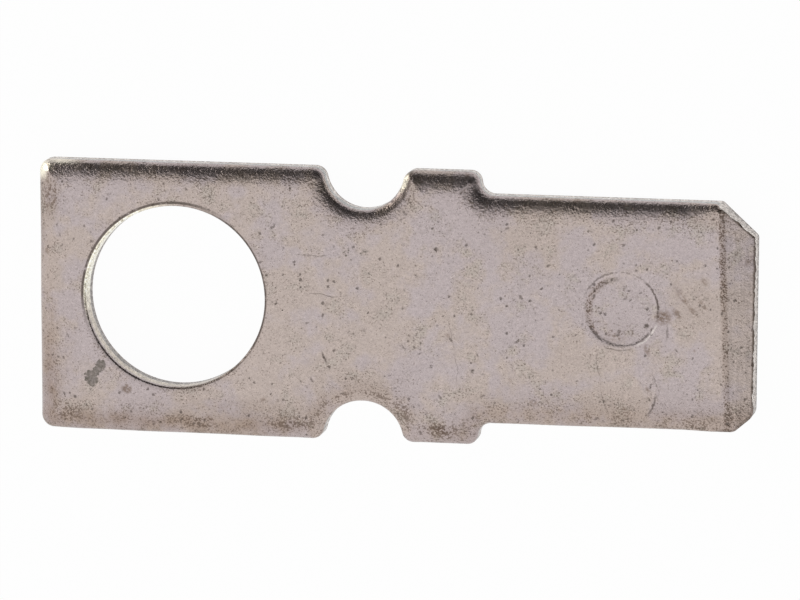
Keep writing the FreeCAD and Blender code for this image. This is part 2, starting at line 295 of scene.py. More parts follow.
def ease(value, low_end, high_end):
    """Smooth step: 3 t squared less 2 t cubed, with t running from 0 to 1 between the ends."""
    share = np.clip((value - low_end) / (high_end - low_end), 0, 1)
    return share * share * (3 - 2 * share)


print("waves stay within", np.round(np.abs(waves(rim, 1.0, 1)).max(), 2))

# %% [markdown]
# ## The upper face as one height field
# The punch drags the upper edge down all round the outline, so the face falls away in
# a quarter of an ellipse. It falls less at the bottom of the notches and ever less
# towards the tip, which was parted in a later stroke, straight through the rolled
# sides. The tip is coined to a lead-in behind a crease that runs slightly askew, and
# the shallow catch dimple has a floor that sits a little off the centre of its rim, so
# that its flank is not as broad all round. Each of these is a drop below the face, and
# the drops simply add up.

# %% Height of the upper face
ROLL_WIDTH, ROLL_DEPTH = 0.62, 0.34
ROLL_STATIONS = (-3.9, -3.4, -2.7, 3.5, 4.4, 5.26, 6.1, 6.9, 8.1, 9.0, 14.2, 15.1, 16.1)
ROLL_SHARES = (1.5, 1.25, 0.96, 0.96, 0.72, 0.58, 0.76, 1.2, 1.2, 0.88, 0.88, 0.36, 0.10)
ROLL_WAVES = ((0.06, 2.6, 3),)
PARTED_FROM = 12.0
HOLE_ROLL = 0.070
CREASE_X, CREASE_SKEW = 15.21, -0.040
BEVEL_DEPTH, CREASE_SOFTNESS = 0.14, 0.05
DIMPLE = np.array([TIP_X - 3.68, CENTRE_Y + 0.17])
DIMPLE_RIM, DIMPLE_FLOOR = 1.05, 0.88
FLOOR_SHIFT = np.array([0.035, -0.035])
DIMPLE_DEPTH = 0.021
FACE_MARGIN = 0.008
FACE_WAVES = ((0.0022, 1.7, 5), (0.0007, 0.36, 6))
FACE_WAVES_FADE = 0.5


def roll_share(points):
    """How much of the roll is there, by the place along the blank: most of it at the
    ring's end and on the neck, least in the notches and at the tip, and nowhere even."""
    uneven = 1 + wave_sum(points, ROLL_WAVES)
    return np.interp(points[:, 0], ROLL_STATIONS, ROLL_SHARES) * uneven


def side_depth(points):
    """Depth below the edges that were blanked first. The tip was parted later, straight
    through the rolled sides, so there only the distance to the two long sides counts."""
    across = points[:, 1] - CENTRE_Y
    share = (points[:, 0] - BLADE_FROM) / (TIP_X - LOWER_CUT[0] - BLADE_FROM)
    from_sides = BLADE_HALF - np.abs(across) - np.where(across < 0, LOWER_TAPER * share, 0)
    depth = np.where(points[:, 0] > PARTED_FROM, from_sides, outline_depth(points))
    return np.maximum(depth, 0)


def quarter_ellipse(depth, width, height):
    """Drop of a rolled edge: the height less the height times the root of 1 less u
    squared, with u falling from 1 at the wall to 0 where the roll ends."""
    away = 1 - np.clip(depth / np.maximum(width, 1e-6), 0, 1)
    return height * (1 - np.sqrt(np.maximum(0, 1 - away * away)))


def crease_line(points):
    """Distance past the crease of the lead-in, measured along the blade: x less the
    crease's own x, which changes by the skew across the blade."""
    return points[:, 0] - CREASE_X - CREASE_SKEW * (points[:, 1] - CENTRE_Y)


def bevel_drop(points):
    """Fall of the lead-in: nothing before the crease, then in proportion, with a short
    rounded start, and full at the tip."""
    past = crease_line(points)
    rounded = np.where(
        past < CREASE_SOFTNESS,
        np.maximum(past + CREASE_SOFTNESS, 0) ** 2 / (4 * CREASE_SOFTNESS),
        past,
    )
    return BEVEL_DEPTH * rounded / (TIP_X - CREASE_X)


def dimple_share(points):
    """0 on the rim circle of the dimple and 1 on its floor circle: the distance in from
    the rim, over the sum of that and the distance out from the floor."""
    inward = DIMPLE_RIM - np.hypot(*(points - DIMPLE).T)
    outward = np.hypot(*(points - DIMPLE - FLOOR_SHIFT).T) - DIMPLE_FLOOR
    share = inward / np.maximum(inward + outward, 1e-9)
    return np.where(outward <= 0, 1.0, np.clip(share, 0, 1))


def upper_height(points):
    """Height of the upper face over the plan: the thickness less every drop."""
    depth = side_depth(points)
    share = roll_share(points)
    drop = quarter_ellipse(depth, ROLL_WIDTH * share, ROLL_DEPTH * share)
    drop = drop + quarter_ellipse(np.maximum(hole_depth(points), 0), HOLE_ROLL, HOLE_ROLL)
    drop = drop + bevel_drop(points) + DIMPLE_DEPTH * ease(dimple_share(points), 0, 1)
    ripple = wave_sum(points, FACE_WAVES) * ease(depth, 0, FACE_WAVES_FADE)
    return THICK - FACE_MARGIN - drop + ripple


print("roll", ROLL_WIDTH, "wide and", ROLL_DEPTH, "deep; dimple", DIMPLE_DEPTH, "deep, mm")

# %% [markdown]
# ## A mesh that follows the edges
# A plain square grid would leave stairs along the rolled edges, so the points of the
# face come in two kinds: rings that keep to the outline at set distances, close
# together where the roll is steep, and a honeycomb of points over the rest. A Delaunay
# triangulation joins them into even triangles. The walls are rings as well, a profile
# carried round the outline, and share the rim points with the faces, so the whole
# piece is one closed skin.

# %% Points of the faces
UPPER_SPACING, LOWER_SPACING = 0.062, 0.17
ROLL_RINGS = 14
RING_SLACK = 0.12
HOLE_RINGS_TO = 0.14
DIMPLE_CIRCLES = 7
outer, inner = np.arange(len(rim)), len(rim) + np.arange(len(hole_rim))


def face_points(spacing, ring_depths):
    """Plan points of a face: rings at the given depths inside the outline and outside
    the hole, circles through the dimple, and a honeycomb over the rest."""
    rings = []
    for depth in ring_depths:
        ring = rim - rim_normals * depth
        rings.append(ring[np.abs(outline_depth(ring) - depth) < RING_SLACK * depth])
    hole_depths = ring_depths[ring_depths < HOLE_RINGS_TO]
    for depth in hole_depths:
        rings.append(hole_rim - hole_normals * depth)
    circle = unit_circle(DIMPLE_RIM, spacing)
    for share in np.linspace(0, 1, DIMPLE_CIRCLES):
        radius = DIMPLE_RIM + (DIMPLE_FLOOR - DIMPLE_RIM) * share
        rings.append(DIMPLE + FLOOR_SHIFT * share + circle * radius)
    rows = np.arange(low[1], high[1], spacing * np.sqrt(3) / 2)
    columns = np.arange(low[0], high[0], spacing)
    grid = np.stack(np.meshgrid(columns, rows), -1)
    grid[1::2, :, 0] += spacing / 2
    grid = grid.reshape(-1, 2)
    clear = outline_depth(grid) > ring_depths[-1] + spacing / 2
    clear &= hole_depth(grid) > hole_depths[-1] + spacing / 2
    slope = (dimple_share(grid) > 0) & (dimple_share(grid) < 1)
    near_rim = np.abs(np.hypot(*(grid - DIMPLE).T) - DIMPLE_RIM) < spacing / 2
    past_floor = np.hypot(*(grid - DIMPLE - FLOOR_SHIFT).T) - DIMPLE_FLOOR
    near_floor = np.abs(past_floor) < spacing / 2
    return np.vstack(rings + [grid[clear & ~slope & ~near_rim & ~near_floor]])


def triangles_between(points):
    """Delaunay triangles of the rims and the points, without those outside the metal.
    The rims come first in the result, in their own order."""
    plan = np.vstack([rim, hole_rim, points])
    edges = [np.stack([loop, np.roll(loop, -1)], -1) for loop in (outer, inner)]
    made = delaunay_2d_cdt(plan.tolist(), np.vstack(edges).tolist(), [], 0, 1e-7)
    if not np.allclose(np.array(made[0]), plan, atol=1e-5):
        raise ValueError("the triangulation moved or merged some points")
    faces = np.array(made[2])
    middle = plan[faces].mean(axis=1)
    return plan, faces[(outline_depth(middle) > 0) & (hole_depth(middle) > 0)]


quarter_turn = np.linspace(0, np.pi / 2, ROLL_RINGS + 1)[1:]
upper_rings = ROLL_WIDTH * (1 - np.cos(quarter_turn))
upper_plan, upper_faces = triangles_between(face_points(UPPER_SPACING, upper_rings))
print("upper face:", len(upper_plan), "points,", len(upper_faces), "triangles")

# %% [markdown]
# ## Walls, underside and one closed skin
# The wall of a stamping has a smooth sheared band under the roll and a torn band below
# it, where the metal gave way. The tip and its corner cuts were parted in a later
# stroke: there the wall leans outward towards the back and its upper edge is ragged,
# except at the lower corner, which came away cleaner.
# The underside is flat, with the same lead-in and dimple pressed from the other side,
# and only a hint of a burr, because the part was tumbled after stamping.

# %% Shape of the walls
WALL_LEVELS = 10
TORN_FROM, TORN_SOFT = 0.30, 0.05
TORN_RECESS, TORN_ROUGHNESS = 0.010, 0.006
TORN_WAVES = ((0.05, 0.9, 21),)
ROUGH_WAVES = ((1.0, 0.11, 22), (0.6, 0.05, 23))
LEAN_STATIONS, TIP_LEANS, TIP_RAGGED = (15.1, 15.9), (0.085, 0.042), 0.020
RAGGED_WAVES = ((1.0, 0.42, 11), (0.5, 0.12, 12))
TIP_FROM = (14.95, 15.15)
LOWER_CUT_FROM, LOWER_CUT_CLEAN = (-2.3, -2.75), 0.85
LEAN_REACH = 0.30
BURR_ROUND = 0.030
BURR_RING_SHARES = (0.12, 0.4, 1.0, 2.6, 7.0)
BACK_RIPPLE, BACK_RIPPLE_FADE, BACK_WAVES = 0.002, 0.4, ((0.5, 1.9, 8),)


def inward(points):
    """Unit direction into the metal at each plan point: the slope of the depth field,
    taken from its change over a short step either way along X and Y."""
    step = 0.004
    shifts = step * np.eye(2)
    slopes = [outline_depth(points + shift) - outline_depth(points - shift) for shift in shifts]
    slope = np.stack(slopes, -1)
    return slope / np.maximum(np.linalg.norm(slope, axis=1, keepdims=True), 1e-9)


def torn_end(points):
    """How much of the torn end is there: all of it on the tip and the upper corner cut,
    and hardly any on the lower cut, which came away clean."""
    clean = 1 - LOWER_CUT_CLEAN * ease(points[:, 1], *LOWER_CUT_FROM)
    return ease(points[:, 0], *TIP_FROM) * clean


def lean_at_tip(points):
    """Plan points of the upper face with the torn tip drawn in: by its lean and its
    ragged waves at the edge, fading to nothing a short way into the face."""
    depth = outline_depth(points)
    near = np.clip(1 - depth / LEAN_REACH, 0, 1) * torn_end(points)
    lean = np.interp(points[:, 0], LEAN_STATIONS, TIP_LEANS)
    lean = lean + TIP_RAGGED * wave_sum(points, RAGGED_WAVES)
    return points + inward(points) * (near * lean)[:, None]


def lower_height(points):
    """Height of the underside: the lead-in and the dimple rise from the flat back, the
    tumbled edge rises in a small quarter circle, and no ripple dips below the floor."""
    depth = np.minimum(np.maximum(outline_depth(points), 0), np.maximum(hole_depth(points), 0))
    rise = quarter_ellipse(depth, BURR_ROUND, BURR_ROUND) + bevel_drop(points)
    rise = rise + DIMPLE_DEPTH * ease(dimple_share(points), 0, 1)
    hollow = np.maximum(1 + wave_sum(points, BACK_WAVES), 0.2)
    return rise + BACK_RIPPLE * hollow * ease(depth, 0, BACK_RIPPLE_FADE)


lower_rings = BURR_ROUND * np.array(BURR_RING_SHARES)
lower_plan, lower_faces = triangles_between(face_points(LOWER_SPACING, lower_rings))
print("underside:", len(lower_plan), "points,", len(lower_faces), "triangles")

# %% Join the skin


def wall_points(top, bottom, normals, torn_share):
    """Levels of a wall between its two rims: the height falls evenly, and the torn band
    lies back from the sheared one by the recess and its roughness."""
    share = (np.arange(1, WALL_LEVELS) / WALL_LEVELS)[:, None, None]
    points = top + (bottom - top) * share
    flat = points.reshape(-1, 3)
    unrolled = np.tile(np.arange(len(top)) * LOOP_SPACING, WALL_LEVELS - 1)
    sweep = np.stack([unrolled, flat[:, 2]], -1)
    torn = ease(TORN_FROM + wave_sum(sweep, TORN_WAVES) - flat[:, 2], 0, TORN_SOFT)
    torn = np.maximum(torn, np.tile(torn_share, WALL_LEVELS - 1))
    rough = TORN_ROUGHNESS * wave_sum(sweep, ROUGH_WAVES)
    recess = torn * np.maximum(0, TORN_RECESS + rough)
    flat[:, :2] -= np.tile(normals, (WALL_LEVELS - 1, 1)) * recess[:, None]
    return flat, torn


def strip_quads(top, levels, bottom, turned):
    """Quads of a closed wall strip, from the index rows of its rims and levels."""
    rows = np.vstack([top, levels.reshape(WALL_LEVELS - 1, -1), bottom])
    after = np.roll(rows, -1, axis=1)
    quads = np.stack([rows[:-1], rows[1:], after[1:], after[:-1]], -1).reshape(-1, 4)
    return quads[:, ::-1] if turned else quads


def facing(faces, where, upward):
    """The triangles, each turned so that its face looks up or down as wanted."""
    first, second, third = (where[faces[:, column], :2] for column in range(3))
    run, rise = second - first, third - first
    area = run[:, 0] * rise[:, 1] - run[:, 1] * rise[:, 0]
    return np.where(((area > 0) == upward)[:, None], faces, faces[:, ::-1])


upper_skin = np.column_stack([lean_at_tip(upper_plan), upper_height(upper_plan)])
lower_skin = np.column_stack([lower_plan, lower_height(lower_plan)])
tip_share, clean_share = torn_end(rim), np.zeros(len(hole_rim))
outer_wall, outer_torn = wall_points(
    upper_skin[outer], lower_skin[outer], rim_normals, tip_share)
hole_wall, hole_torn = wall_points(
    upper_skin[inner], lower_skin[inner], hole_normals, clean_share)

parts = [upper_skin, lower_skin, outer_wall, hole_wall]
offsets = np.cumsum([0] + [len(part) for part in parts])
skin = np.vstack(parts)
triangles = np.vstack([
    facing(upper_faces, upper_skin, True),
    facing(lower_faces, lower_skin, False) + offsets[1],
])
quads = np.vstack([
    strip_quads(outer, np.arange(offsets[2], offsets[3]), outer + offsets[1], False),
    strip_quads(inner, np.arange(offsets[3], offsets[4]), inner + offsets[1], True),
])
print(len(skin), "points,", len(triangles) + 2 * len(quads), "triangles in all")

# %% Make the piece
SHARP_ANGLE = np.radians(38)


def skin_mesh(name, points, triangles, quads):
    """Mesh from whole arrays: points in millimetres, triangles first and then quads."""
    mesh = bpy.data.meshes.new(name)
    corners = np.concatenate([triangles.ravel(), quads.ravel()])
    sizes = np.repeat([3, 4], [len(triangles), len(quads)])
    mesh.vertices.add(len(points))
    mesh.vertices.foreach_set("co", (points * MM).astype(np.float32).ravel())
    mesh.loops.add(len(corners))
    mesh.loops.foreach_set("vertex_index", corners.astype(np.int32))
    mesh.polygons.add(len(sizes))
    mesh.polygons.foreach_set("loop_start", (np.cumsum(sizes) - sizes).astype(np.int32))
    mesh.update(calc_edges=True)
    mesh.validate()
    mesh.polygons.foreach_set("use_smooth", np.ones(len(sizes), dtype=bool))
    mesh.set_sharp_from_angle(angle=SHARP_ANGLE)
    return mesh


mesh = skin_mesh("terminal_skin", skin, triangles, quads)
plan, order = skin[:, :2], np.arange(len(skin))
on_wall = (order >= offsets[2]).astype(float)
on_faces = np.zeros(offsets[2])
on_faces[outer] = tip_share
fields = {
    "wall": on_wall,
    "torn": np.concatenate([on_faces, outer_torn, hole_torn]),
    "edge_gap": np.maximum(outline_depth(plan), 0) * (1 - on_wall),
    "side_gap": side_depth(plan) * (1 - on_wall),
    "bore": (order >= offsets[3]).astype(float),
    "hole_gap": np.maximum(hole_depth(plan), 0) * (1 - on_wall),
    "past_crease": crease_line(plan),
}
for name, values in fields.items():
    held = mesh.attributes.new(name, "FLOAT", "POINT")
    held.data.foreach_set("value", values.astype(np.float32))

terminal = placed("terminal_skin", mesh)
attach(terminal, BODY)
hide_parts(NODE)
print("piece spans, mm:", skin.min(axis=0).round(3), skin.max(axis=0).round(3))

# %% [markdown]
# ## Shader maths that reads like arithmetic
# A finish is a network of nodes. Built by hand in code it turns into hundreds of lines
# of add this and link that, and nobody can see the formula any more. One small class
# wraps an output socket, so that a product or a difference of two signals adds the
# Math node by itself, and one method adds every other kind of node.

# %% Signals and finishes


def linear(code):
    """Linear colour of a hex code as it looks on a screen: the sRGB curve undone."""
    shown = np.array([int(code[place:place + 2], 16) for place in (1, 3, 5)]) / 255
    value = np.where(shown <= 0.04045, shown / 12.92, ((shown + 0.055) / 1.055) ** 2.4)
    return (*value.tolist(), 1.0)


class Signal:
    """An output socket of a finish, with the arithmetic that the finishes below use."""

    def __init__(self, finish, socket):
        self.finish, self.socket = finish, socket

    def other(self, name):
        """Another output of the same node."""
        return Signal(self.finish, self.socket.node.outputs[name])

    def ease(self, start, end):
        """Smooth step: 0 at the start and 1 at the end, which may be the lower one."""
        inputs = {"Value": self, "From Min": start, "From Max": end}
        return self.finish.node("ShaderNodeMapRange", inputs, interpolation_type="SMOOTHSTEP")

    def __add__(self, other):
        return self.finish.maths("ADD", self, other)

    def __sub__(self, other):
        return self.finish.maths("SUBTRACT", self, other)

    def __rsub__(self, other):
        return self.finish.maths("SUBTRACT", other, self)

    def __mul__(self, other):
        return self.finish.maths("MULTIPLY", self, other)

    __radd__ = __add__
    __rmul__ = __mul__


class Finish:
    """One node tree being built: a material, or the world."""

    def __init__(self, owner):
        owner.use_nodes = True
        self.owner, self.tree = owner, owner.node_tree
        self.tree.nodes.clear()

    def node(self, kind, inputs=None, output=0, **settings):
        """Adds a node: its settings first, then values or signals for its sockets."""
        made = self.tree.nodes.new(kind)
        for name, value in settings.items():
            setattr(made, name, value)
        for name, value in (inputs or {}).items():
            if isinstance(value, Signal):
                self.tree.links.new(value.socket, made.inputs[name])
            else:
                made.inputs[name].default_value = value
        return Signal(self, made.outputs[output]) if made.outputs else made

    def maths(self, operation, *values):
        """A Math node; its inputs are numbered."""
        return self.node("ShaderNodeMath", dict(enumerate(values)), operation=operation)

    def vector(self, operation, *values, output=0):
        """A Vector Math node; its inputs are numbered."""
        inputs = dict(enumerate(values))
        return self.node("ShaderNodeVectorMath", inputs, output, operation=operation)

    def blend(self, mask, under, over):
        """Colour that goes from one to the other with the mask."""
        inputs = {0: mask, 6: under, 7: over}
        return self.node("ShaderNodeMix", inputs, 2, data_type="RGBA", clamp_factor=True)

    def noise(self, place, scale, detail, roughness):
        """Noise texture; the scale is in waves for each millimetre."""
        inputs = {"Vector": place, "Scale": scale, "Detail": detail, "Roughness": roughness}
        return self.node("ShaderNodeTexNoise", inputs)


print("signals add, subtract and multiply; finishes add every other node")

# %% [markdown]
# ## The old tin
# Bright tin plate is almost a mirror. This tin has been handled and has aged: a dull
# grey skin, in some places a little violet and in others beige, with fine dark pits
# down to the brass and grime beside the edges. It is built in layers like the real
# thing. The plate colour comes first, then the broad patches, then specks of several
# sizes, whose share grows near the edges, then stains and scratches at their own
# places. The same masks lower the surface a little and dull its shine, because a pit
# is a hole and not a dot of paint.

# %% Colours of the tin
TIN_VIOLET = linear("#B9ADAD")
TIN_BEIGE = linear("#BCAEA7")
TIN_GREEN = linear("#B5ADA5")
GRIME = linear("#88705C")
GRIT = linear("#5E4D41")
PIT = linear("#564C46")
STAIN = linear("#6A645D")
BROWN_STAIN = linear("#796659")
RUBBED_HIGHLIGHT = linear("#FCF5E2")
CUT_LINE = linear("#54483F")
TORN_METAL = linear("#DED6D0")
SHEARED = linear("#A4A3A1")
# Painted highlight: the cream on the upper side of the screw hole's bore and on its left lip.
BORE_HIGHLIGHT_CREAM = linear("#FFF8E4")
BORE_BEIGE = linear("#C6BBAE")
BORE_GREY = linear("#A09B97")
METAL_SHARE = 0.92
print("tin, linear:", [round(value, 3) for value in TIN_VIOLET[:3]])

# %% Specks and marks
BLOT_REACH = 1.6
tin = Finish(bpy.data.materials.new("old_tin"))


def strongest(masks):
    """The largest of several masks at each point. Each mask is taken up as soon as it is
    made, because the renderer can hold only so many open results at once."""
    masks = iter(masks)
    total = next(masks)
    for mask in masks:
        total = tin.maths("MAXIMUM", total, mask)
    return total


def laid_out(place, centre, turn, scale):
    """The place as a mark sees it: moved to its centre, turned and scaled."""
    inputs = {
        "Vector": place,
        "Location": (*centre, 0.0),
        "Rotation": (0.0, 0.0, np.radians(turn)),
        "Scale": scale,
    }
    return tin.node("ShaderNodeMapping", inputs, vector_type="TEXTURE")


def specks(place, size, radius, share, turn=0.0, stretch=1.0):
    """Mask of specks: one in each cell of the given size, in as many cells as the share
    says, with radii that vary from cell to cell. Turned and stretched they are nicks."""
    local = laid_out(place, (size * 7, size * 3), turn, (stretch, 1.0, 1.0))
    inputs = {"Vector": local, "Scale": 1 / size, "Randomness": 1.0}
    distance = tin.node("ShaderNodeTexVoronoi", inputs)
    pick = tin.node("ShaderNodeSeparateColor", {0: distance.other("Color")})
    reach = (pick.other("Green") * 0.7 + 0.3) * (radius / size)
    round_mask = (distance - reach).ease(0.3 * radius / size, -0.5 * radius / size)
    return round_mask * (share - pick).ease(0.0, 0.05)


def blot(place, centre, half_size, turn=0.0, soft=0.6):
    """Mask of one soft ellipse: the place is moved, turned and scaled so that the
    ellipse becomes a circle in a spherical gradient, which falls evenly from 1 at its
    centre to 0 at the reach. The stretch of it beside the ellipse's edge is eased."""
    scale = (half_size[0] * BLOT_REACH, half_size[1] * BLOT_REACH, 100.0)
    inputs = {"Vector": laid_out(place, centre, turn, scale)}
    inside = tin.node("ShaderNodeTexGradient", inputs, "Fac", gradient_type="SPHERICAL")
    return inside.ease(1 - (1 + soft / 2) / BLOT_REACH, 1 - (1 - soft) / BLOT_REACH)


def stroke(place, start, end, half_width, soft=0.8):
    """Mask of a straight mark between two points: a blot drawn out along it."""
    start, end = np.array(start), np.array(end)
    run = end - start
    half_size = (np.linalg.norm(run) / 2, half_width)
    return blot(place, (start + end) / 2, half_size, np.degrees(np.arctan2(run[1], run[0])), soft)


def ring_mark(around, radius, half_width, middle, half_span):
    """Mask of an arc round a centre, from each point's heading and distance: near the
    radius, and within the half span of the middle angle. The angle is compared by the
    cosine, so nothing has to be unwrapped."""
    heading, distance = around
    aim = (*headings(np.radians(middle)), 0.0)
    towards = tin.vector("DOT_PRODUCT", heading, aim, output=1)
    full, none = np.cos(np.radians([half_span * 0.6, half_span * 1.2]))
    near = tin.maths("ABSOLUTE", distance - radius)
    span = towards.ease(none, full)
    return near.ease(half_width * 1.3, half_width * 0.5) * span


def marks(table, ground, shape=blot, **more):
    """The strongest of a table's marks, each as strong as its row's last number."""
    return strongest(shape(ground, *row[:-1], **more) * row[-1] for row in table)


print("specks, blots, strokes and ring marks ready")

# %% Fields that the layers share
coordinates = tin.node("ShaderNodeTexCoord", output="Object")
place = tin.vector("MULTIPLY", coordinates, (1 / MM, 1 / MM, 1 / MM))
axes = tin.node("ShaderNodeSeparateXYZ", {0: place})
along, across, upward = axes, axes.other("Y"), axes.other("Z")
on_top = upward.ease(0.30, 0.45)


def stored(name):
    """A number stored on the mesh."""
    return tin.node("ShaderNodeAttribute", output="Fac", attribute_name=name)


def shifted(ground, noise, reach):
    """The ground moved about in the plan by the colours of a noise, so that what is
    drawn on it comes out uneven."""
    away = tin.vector("SUBTRACT", noise.other("Color"), (0.5, 0.5, 0.5))
    return tin.vector("ADD", ground, tin.vector("MULTIPLY", away, (reach, reach, 0.0)))


wall, torn_mask, in_bore = stored("wall"), stored("torn"), stored("bore")
edge_gap, side_gap, hole_gap = stored("edge_gap"), stored("side_gap"), stored("hole_gap")
past_crease = stored("past_crease")

patches = tin.noise(place, 0.55, 3.0, 0.6)
clouds = tin.noise(place, 1.4, 3.0, 0.6)
mottle = tin.noise(place, 3.2, 3.0, 0.6)
grain = tin.noise(place, 9.0, 3.0, 0.65)
dust = tin.noise(place, 21.0, 1.0, 0.6)
crumbs = tin.noise(place, 14.0, 1.0, 0.5)
fine = tin.node("ShaderNodeSeparateColor", {0: dust.other("Color")})
fine_dark, fine_light = fine.other("Green"), fine.other("Blue")
strayed = shifted(place, grain, 0.10)
ragged = shifted(strayed, dust, 0.12)
swayed = shifted(strayed, clouds, 0.35)
print("fields:", len(tin.tree.nodes), "nodes")

# %% [markdown]
# ## Grime and grit
# Dirt on a small stamping is not spread by chance. Fingers and rubbing keep the middle
# of the faces clean, so a brown film stays beside the edges, and hard grit packs into
# whatever has a step: the crease of the lead-in, the flank of the dimple, the notches.
# Each mask below says how crowded a place is, and the crowding then lowers the level
# at which fine noise counts as a speck. That keeps every speck crisp, where a soft
# brown cloud would look like a smear of paint.

# %% Grime and grit
NOTCH_GRIT_OUT, NOTCH_SHADE_OUT = 0.28, 0.15
CLEAN_NOTCH = (2.3, 2.3)
DIRTY_DIMPLE = (0.85, 0.85)
CLUSTERS = (
    ((-3.05, -3.35), (0.50, 0.28), 0.52), ((0.64, -3.45), (0.70, 0.22), 0.54),
    ((3.27, -3.42), (0.85, 0.28), 0.52), ((7.48, -3.46), (0.50, 0.27), 0.72),
    ((14.51, -3.04), (0.45, 0.18), 0.54), ((-3.50, 2.80), (0.28, 0.60), 0.46),
    ((6.45, -2.95), (0.26, 0.42), 0.46), ((12.32, -0.60), (0.22, 0.18), 0.44),
)
GRITTY_ARCS = ((0.87, 0.11, 158, 45, 0.60), (0.91, 0.08, 205, 22, 0.56))


def seen_from(centre):
    """Heading and distance of each point from a centre in the plan."""
    away = tin.vector("SUBTRACT", strayed, (*centre, 0.0))
    away = tin.vector("MULTIPLY", away, (1.0, 1.0, 0.0))
    return tin.vector("NORMALIZE", away), tin.vector("LENGTH", away, output=1)


low_side = across.ease(0.5, -2.6)
ring_side = along.ease(9.0, 3.0)
film = side_gap.ease(0.75, 0.35) * (side_gap.ease(-0.10, 0.35) * 0.7 + 0.3)
film = film * (low_side * (ring_side * 0.18 + 0.10) + 0.08)
film = film + side_gap.ease(1.5, 0.5) * (low_side * 0.10 + 0.03)
film = film * (clouds * (ring_side * 1.2 + 1.2) - ring_side * 0.60 + 0.45)
film = film * (1 - blot(place, (NOTCH_X, -RING_HALF), CLEAN_NOTCH) * 0.6)
high_side = across.ease(0.5, 2.8)
beside_edge = side_gap.ease(1.2, 0.35) * (low_side * 0.30 + high_side * 0.30 + 0.10)
near_hole = hole_gap.ease(0.55, 0.0) * (low_side * 0.30 + 0.20)
crease_wear = across.ease(-0.3, 0.9) * across.ease(2.9, 1.5) * 0.30 + 0.60
near_crease = tin.maths("ABSOLUTE", past_crease - 0.05).ease(0.14, 0.04) * crease_wear
clusters = marks(CLUSTERS, swayed, soft=0.8)
round_dimple = seen_from(DIMPLE)
round_upper_notch = seen_from((NOTCH_X, CENTRE_Y + RING_HALF))
round_lower_notch = seen_from((NOTCH_X, CENTRE_Y - RING_HALF))
gritty_arcs = marks(GRITTY_ARCS, round_dimple, ring_mark)
notch_grit = ring_mark(round_lower_notch, NOTCH_RADIUS + NOTCH_GRIT_OUT, 0.06, 90, 75)
dirt = (clouds + mottle * 0.5).ease(0.66, 0.92)
crowd = beside_edge + near_hole + dirt * 0.55
blobs = strongest([near_crease * 0.54, clusters, gritty_arcs, notch_grit * 0.38]) * on_top
inside_dimple = blot(strayed, DIMPLE, DIRTY_DIMPLE, 0, 0.4) * on_top
packed = near_crease * on_top
grit = (fine_dark + crowd * 0.19 + blobs * 0.08 + packed * 0.10).ease(0.68, 0.75)
clots = (crumbs + blobs * 0.27 + beside_edge * 0.08 + dirt * 0.04).ease(0.69, 0.74)
crowd = crowd + blobs * 0.4 + inside_dimple * 0.35
small = specks(strayed, 0.16, 0.048, crowd * 0.30 + 0.18)
large = specks(ragged, 0.55, 0.062, crowd * 0.4 + 0.25) * crumbs.ease(0.34, 0.50)
smudges = specks(swayed, 0.62, 0.110, along.ease(2.0, 9.0) * 0.22 + 0.26)
nicks = strongest(
    specks(strayed, size, 0.034, crowd * 0.3 + 0.16, turn, 2.6)
    for size, turn in ((0.20, 25), (0.23, -55))
)
print("grime and grit:", len(tin.tree.nodes), "nodes")

# %% [markdown]
# ## Marks at their own places
# What the eye remembers of an old piece are its few single marks: two grey stains by
# the screw hole, a scratch that wanders down the blade, the broken dark line round the
# dimple, the bright rubbed corner. That corner's cream, and that of a spot on the upper
# notch's right flank, is a painted highlight on rubbed metal. Each is one row of a table
# here, with its place and size in millimetres. The places are swayed by noise first, so
# that an ellipse comes out as a stain and a straight run as a scratch.

# %% Marks at their own places
STAINS = (
    ((-2.38, -2.36), (0.21, 0.26), 20, 0.4, 1.0), ((-2.12, -2.01), (0.16, 0.22), -20, 0.4, 0.95),
    ((-2.26, -2.18), (0.12, 0.20), -30, 0.4, 0.95),
    ((4.86, 1.42), (0.16, 0.13), 0, 1.0, 0.5), ((5.34, 1.45), (0.15, 0.16), 0, 1.0, 0.6),
)
BROWN_STAINS = (
    ((-1.38, -2.63), (0.16, 0.14), 0, 0.5, 0.95), ((13.60, -0.06), (0.25, 0.21), 10, 0.7, 1.0),
    ((13.97, 0.05), (0.18, 0.10), -50, 0.7, 0.85), ((13.17, -0.97), (0.10, 0.17), 10, 0.7, 0.75),
    ((12.28, -0.66), (0.40, 0.20), 0, 1.0, 0.35), ((-3.55, 2.65), (0.30, 0.62), 0, 1.0, 0.40),
    ((-3.86, 1.9), (0.13, 1.15), 0, 0.9, 0.45), ((12.35, -0.45), (0.55, 0.35), 0, 1.0, 0.14),
    ((15.88, 1.54), (0.24, 0.15), 30, 1.0, 0.6), ((14.02, 0.63), (0.12, 0.32), 25, 1.0, 0.5),
    ((1.90, -3.02), (2.2, 0.26), 0, 1.0, 0.22), ((0.95, -3.36), (0.11, 0.10), 0, 0.9, 0.5),
    ((14.4, 0.2), (0.9, 0.7), 0, 1.0, 0.12), ((9.6, 1.9), (1.6, 0.9), 0, 1.0, 0.08),
    ((11.0, -1.4), (0.9, 0.6), 0, 1.0, 0.08), ((12.3, -2.6), (1.2, 0.5), 0, 1.0, 0.08),
    ((14.15, 0.44), (0.22, 0.08), -50, 0.8, 0.85), ((14.40, 0.14), (0.20, 0.07), -45, 0.8, 0.80),
    ((14.68, 0.30), (0.18, 0.07), -50, 0.8, 0.75), ((14.70, 0.94), (0.14, 0.08), -60, 0.8, 0.60),
)
# Painted highlights: near-white cream on the upper left corner, along its top and on the upper
# notch's right flank, as rubbed metal.
RUBBED_HIGHLIGHT_SPOTS = (
    ((-3.88, 3.44), (0.40, 0.30), 0, 0.7, 1.0), ((6.34, 3.40), (0.16, 0.30), -20, 0.8, 0.8),
    ((-3.3, 3.66), (0.5, 0.10), 0, 0.8, 0.6),
)
